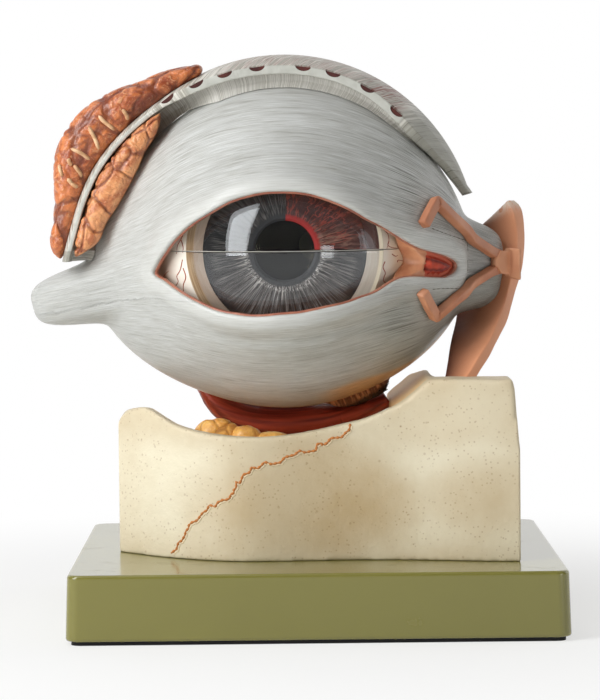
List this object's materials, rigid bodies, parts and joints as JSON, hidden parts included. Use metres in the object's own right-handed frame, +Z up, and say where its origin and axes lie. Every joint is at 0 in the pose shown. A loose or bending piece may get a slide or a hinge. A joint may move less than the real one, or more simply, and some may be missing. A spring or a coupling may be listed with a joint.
{
  "type": "eye anatomy model",
  "caption": "Enlarged eyeball on an orbit bone and board; halves, lens, vitreous and lids with tear organs come apart for teaching.",
  "frame": {"origin": "centre of the underside of the stand's pad", "axes": "+Z up; -Y is the front, where the iris looks; +X is the nose side of this right eye"},
  "size_m": [0.2078, 0.18, 0.2232],
  "materials": {
    "board_green": "glossy moulded plastic, olive green",
    "pad": "matt non-slip sheet",
    "bone": "cream cast resin, satin, speckled",
    "screw_steel": "plated steel",
    "bush_brass": "turned brass",
    "rod_steel": "polished steel",
    "fat": "yellow-orange painted, satin",
    "sclera": "cream with painted vessels, semi-gloss",
    "choroid": "dark brown with painted vessels",
    "retina": "orange with painted vessels",
    "ciliary": "dark brown, pleated",
    "iris_blue": "blue-grey painted fibres",
    "iris_cut": "blue-grey with a dark red vessel layer",
    "cornea": "clear acrylic",
    "muscle": "dark red fibres, semi-gloss",
    "nerve": "yellow-cream",
    "sheath": "flesh tan",
    "ligament": "brownish pink, fibrous",
    "vitreous": "clear cast acrylic",
    "lens": "clear acrylic",
    "lid_grey": "blue-grey with brushed fibres, semi-gloss",
    "lid_lining": "pink-red, glossy",
    "caruncle": "red, glossy",
    "plica": "flesh pink",
    "plate_grey": "light grey with brown fibres",
    "gland_dark": "orange-brown lobules",
    "gland_light": "orange lobules",
    "duct": "tan",
    "tear_copper": "copper brown, satin"
  },
  "bodies": {
    "base": {"base_board": "board_green", "base_pad": "pad", "bone_block": "bone", "bone_screws": "screw_steel", "mounting_bush": "bush_brass", "orbit_fat": "fat"},
    "eye_lower": {"support_rod": "rod_steel", "sclera_lower": "sclera", "choroid_lower": "choroid", "retina_lower": "retina", "ciliary_body_lower": "ciliary", "iris_lower": "iris_blue", "cornea_lower": "cornea", "inferior_rectus": "muscle", "inferior_oblique": "muscle", "lateral_rectus_lower": "muscle", "medial_rectus_lower": "muscle", "optic_nerve": "nerve", "nerve_sheath": "sheath", "register_pins": "screw_steel", "suspensory_ligament": "ligament"},
    "eye_upper": {"sclera_upper": "sclera", "choroid_upper": "choroid", "retina_upper": "retina", "ciliary_body_upper": "ciliary", "iris_upper": "iris_cut", "cornea_upper": "cornea", "superior_rectus": "muscle", "superior_oblique": "muscle", "lateral_rectus_upper": "muscle", "medial_rectus_upper": "muscle"},
    "vitreous": {"vitreous_body": "vitreous"},
    "lens": {"lens": "lens"},
    "lids": {"lid_shell": "lid_grey", "lid_rim": "lid_lining", "caruncle": "caruncle", "plica": "plica", "levator_plate": "plate_grey", "gland_orbital": "gland_dark", "gland_palpebral": "gland_light", "gland_ducts": "duct", "canaliculus_upper": "tear_copper", "canaliculus_lower": "tear_copper", "lacrimal_sac": "tear_copper", "lid_pegs": "screw_steel"}
  },
  "joints": [
    {"name": "eyeball_lift", "type": "slide", "parent": "base", "child": "eye_lower", "axis": [0, 0, 1], "range_m": [0, 0.035]},
    {"name": "lids_pull", "type": "slide", "parent": "eye_lower", "child": "lids", "axis": [0, -1, 0], "range_m": [0, 0.11]},
    {"name": "upper_half_lift", "type": "slide", "parent": "eye_lower", "child": "eye_upper", "axis": [0, 0, 1], "range_m": [0, 0.066]},
    {"name": "vitreous_lift", "type": "slide", "parent": "eye_lower", "child": "vitreous", "axis": [0, 0, 1], "range_m": [0, 0.033]},
    {"name": "lens_pull", "type": "slide", "parent": "vitreous", "child": "lens", "axis": [0, -1, 0], "range_m": [0, 0.0061]}
  ],
  "couplings": [
    {"joint": "upper_half_lift", "follows": "lids_pull", "ratio": 0.6},
    {"joint": "vitreous_lift", "follows": "lids_pull", "ratio": 0.3},
    {"joint": "lens_pull", "follows": "lids_pull", "ratio": 0.055}
  ]
}
